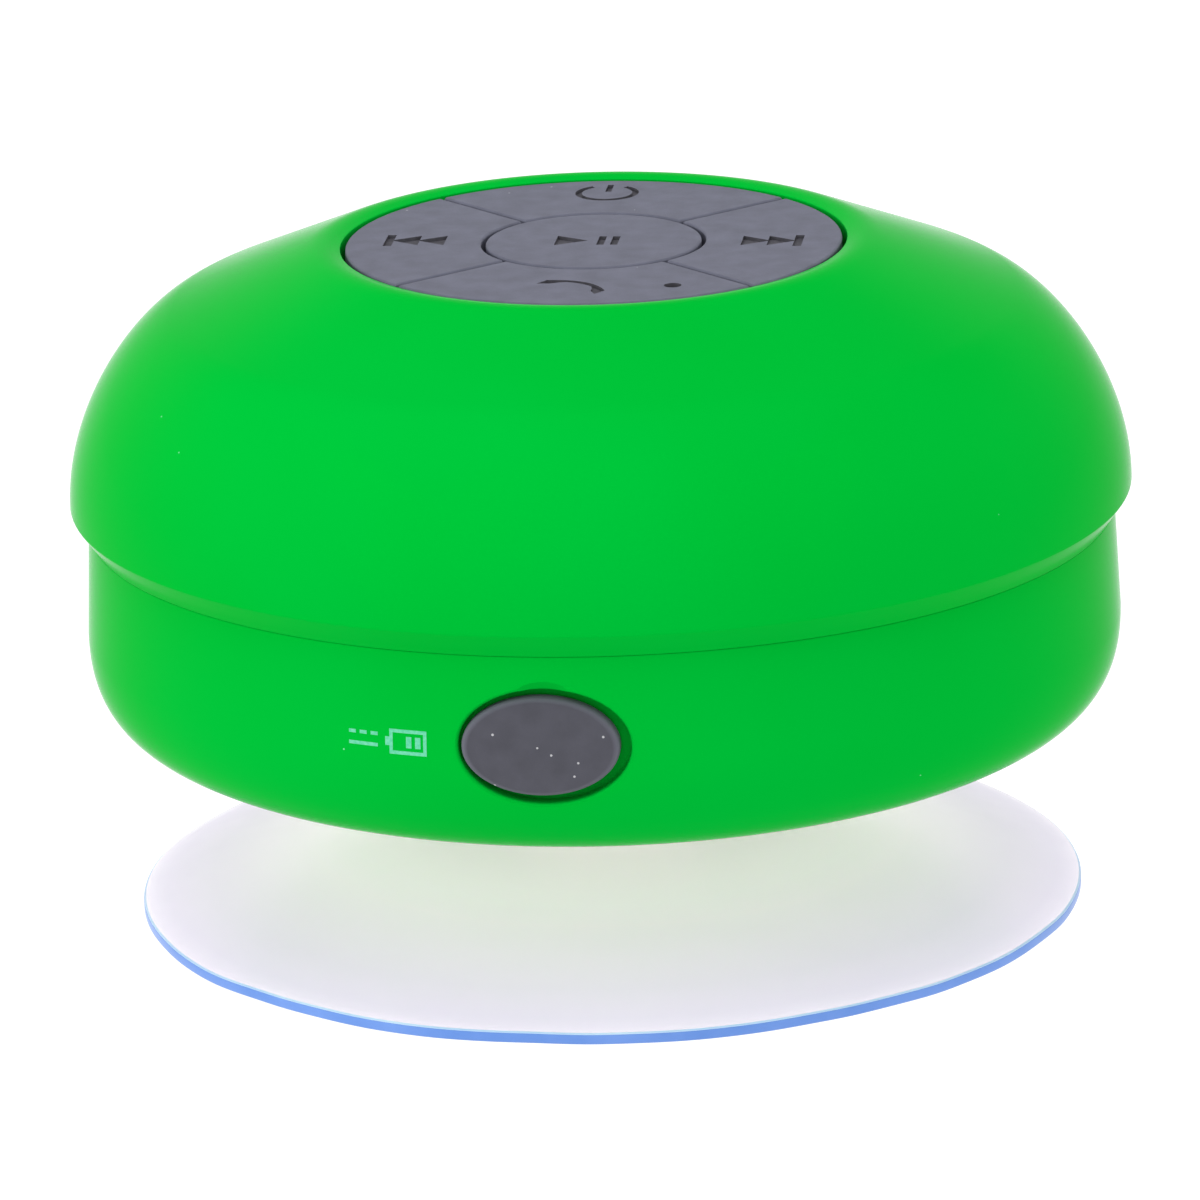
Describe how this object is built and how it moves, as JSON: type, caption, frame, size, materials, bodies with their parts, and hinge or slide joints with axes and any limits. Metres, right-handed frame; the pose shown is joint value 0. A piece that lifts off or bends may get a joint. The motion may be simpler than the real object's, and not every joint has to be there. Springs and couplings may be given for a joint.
{
  "type": "shower speaker",
  "caption": "Waterproof dome loudspeaker with a round five-key keypad, a plugged charging port and a clear suction cup that swivels on a stud.",
  "frame": {"origin": "centre of the suction cup's contact ring, in the plane that the ring rests on", "axes": "+Z along the centre line from the cup to the keypad, -Y towards the charging port, +X towards the next-track key"},
  "size_m": [0.086, 0.086, 0.0554],
  "materials": {
    "shell": "satin soft-touch, vivid green",
    "keys": "matt silicone, mid grey",
    "plug": "matt silicone, dark grey",
    "cup": "clear soft vinyl, bluish at its edge",
    "seal": "matt black rubber",
    "board": "solder mask",
    "black_plastic": "moulded",
    "white_plastic": "moulded",
    "steel": "zinc plated",
    "magnet": "sintered",
    "coil": "enamelled copper wire",
    "paper": "pressed pulp and cloth",
    "cell": "foil pouch",
    "wire": "insulated wire"
  },
  "bodies": {
    "cup": {"suction_cup": "cup"},
    "stud": {"cup_stud": "white_plastic", "stud_o_ring": "seal", "stud_washer": "steel", "stud_screw": "steel"},
    "speaker": {"base_shell": "shell", "dome_shell": "shell", "case_gasket": "seal", "case_screw_1": "steel", "case_screw_2": "steel", "case_screw_3": "steel", "case_screw_4": "steel", "keypad_membrane": "seal", "key_board": "board", "key_board_screw_1": "steel", "key_board_screw_2": "steel", "key_board_screw_3": "steel", "switch_body_1": "black_plastic", "switch_body_2": "black_plastic", "switch_body_3": "black_plastic", "switch_body_4": "black_plastic", "switch_body_5": "black_plastic", "microphone": "steel", "key_ribbon": "white_plastic", "port_plug_tether": "plug", "usb_socket": "steel", "main_board": "board", "main_board_screw_1": "steel", "main_board_screw_2": "steel", "bluetooth_chip": "black_plastic", "amplifier_chip": "black_plastic", "battery_connector": "white_plastic", "battery": "cell", "battery_pad": "seal", "battery_lead": "wire", "driver_lead": "wire", "driver_frame": "steel", "driver_screw_1": "steel", "driver_screw_2": "steel", "driver_screw_3": "steel", "driver_front_plate": "steel", "driver_magnet": "magnet", "driver_yoke": "steel", "cone_surround": "seal", "cone_spider": "paper", "acoustic_mesh": "seal"},
    "play_key": {"key_play_pause": "keys"},
    "next_key": {"key_next": "keys"},
    "power_key": {"key_power": "keys"},
    "previous_key": {"key_previous": "keys"},
    "call_key": {"key_call": "keys"},
    "play_plunger": {"switch_plunger_1": "white_plastic"},
    "next_plunger": {"switch_plunger_2": "white_plastic"},
    "power_plunger": {"switch_plunger_3": "white_plastic"},
    "previous_plunger": {"switch_plunger_4": "white_plastic"},
    "call_plunger": {"switch_plunger_5": "white_plastic"},
    "plug": {"port_plug": "plug"},
    "cone": {"speaker_cone": "paper", "dust_cap": "paper", "voice_coil": "coil"}
  },
  "joints": [
    {"name": "press_cup", "type": "slide", "parent": "cup", "child": "stud", "axis": [0, 0, 1], "range_m": [-0.004, 0], "stiffness_N_per_m": 5000, "deforming": ["suction_cup"]},
    {"name": "swivel", "type": "hinge", "parent": "stud", "child": "speaker", "pos_m": [0, 0, 0.0146], "axis": [0, 0, 1], "continuous": true},
    {"name": "push_play", "type": "slide", "parent": "speaker", "child": "play_key", "axis": [0, 0, 1], "range_m": [-0.0005, 0], "stiffness_N_per_m": 3000},
    {"name": "push_next", "type": "slide", "parent": "speaker", "child": "next_key", "axis": [0, 0, 1], "range_m": [-0.0005, 0], "stiffness_N_per_m": 3000},
    {"name": "push_power", "type": "slide", "parent": "speaker", "child": "power_key", "axis": [0, 0, 1], "range_m": [-0.0005, 0], "stiffness_N_per_m": 3000},
    {"name": "push_previous", "type": "slide", "parent": "speaker", "child": "previous_key", "axis": [0, 0, 1], "range_m": [-0.0005, 0], "stiffness_N_per_m": 3000},
    {"name": "push_call", "type": "slide", "parent": "speaker", "child": "call_key", "axis": [0, 0, 1], "range_m": [-0.0005, 0], "stiffness_N_per_m": 3000},
    {"name": "play_plunger_travel", "type": "slide", "parent": "speaker", "child": "play_plunger", "axis": [0, 0, 1], "range_m": [-0.0005, 0]},
    {"name": "next_plunger_travel", "type": "slide", "parent": "speaker", "child": "next_plunger", "axis": [0, 0, 1], "range_m": [-0.0005, 0]},
    {"name": "power_plunger_travel", "type": "slide", "parent": "speaker", "child": "power_plunger", "axis": [0, 0, 1], "range_m": [-0.0005, 0]},
    {"name": "previous_plunger_travel", "type": "slide", "parent": "speaker", "child": "previous_plunger", "axis": [0, 0, 1], "range_m": [-0.0005, 0]},
    {"name": "call_plunger_travel", "type": "slide", "parent": "speaker", "child": "call_plunger", "axis": [0, 0, 1], "range_m": [-0.0005, 0]},
    {"name": "open_plug", "type": "hinge", "parent": "speaker", "child": "plug", "pos_m": [-0.0065, -0.0418, 0.0256], "axis": [0, 0, -1], "range_deg": [0, 110]},
    {"name": "cone_travel", "type": "slide", "parent": "speaker", "child": "cone", "axis": [0, 0, 1], "range_m": [-0.0008, 0.0008], "stiffness_N_per_m": 1500}
  ],
  "couplings": [
    {"joint": "play_plunger_travel", "follows": "push_play", "ratio": 1},
    {"joint": "next_plunger_travel", "follows": "push_next", "ratio": 1},
    {"joint": "power_plunger_travel", "follows": "push_power", "ratio": 1},
    {"joint": "previous_plunger_travel", "follows": "push_previous", "ratio": 1},
    {"joint": "call_plunger_travel", "follows": "push_call", "ratio": 1}
  ]
}
